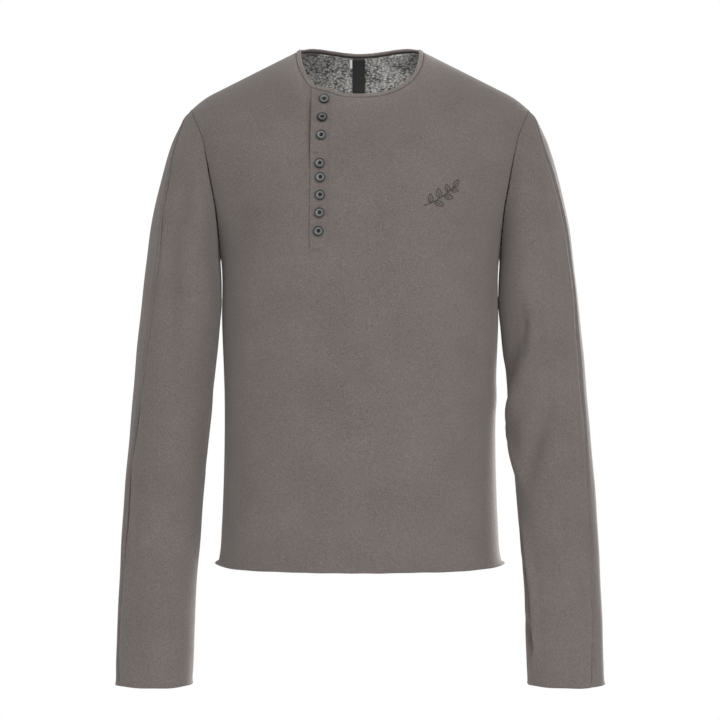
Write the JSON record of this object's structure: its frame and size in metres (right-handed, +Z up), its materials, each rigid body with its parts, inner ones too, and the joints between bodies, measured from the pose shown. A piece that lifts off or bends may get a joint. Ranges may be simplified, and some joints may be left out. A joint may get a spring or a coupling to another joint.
{
  "type": "long-sleeved henley shirt",
  "caption": "Warm grey jersey henley shirt, filled out as when worn, with narrow neck binding, offset buttoned placket and raw hem and cuffs.",
  "frame": {"origin": "midway between the two shoulder neck points, where the wearer's shoulders hold the shirt up", "axes": "+X towards the wearer's left, -Y towards the front, +Z up"},
  "size_m": [0.6237, 0.2303, 0.8228],
  "materials": {
    "jersey": "matt warm grey loopback jersey, smooth outside, looped inside",
    "label": "black woven label, bare",
    "tab": "white woven tab, bare",
    "button": "dark horn-like button with a paler dished face"
  },
  "bodies": {
    "root": {"front": "jersey", "back": "jersey", "sleeve_right_front": "jersey", "sleeve_right_back": "jersey", "sleeve_left_front": "jersey", "sleeve_left_back": "jersey", "neckband": "jersey", "placket": "jersey", "neck_label": "label", "size_tab": "tab", "button_1": "button", "button_2": "button", "button_3": "button", "button_4": "button", "button_5": "button", "button_6": "button", "button_7": "button", "button_8": "button"}
  },
  "joints": []
}
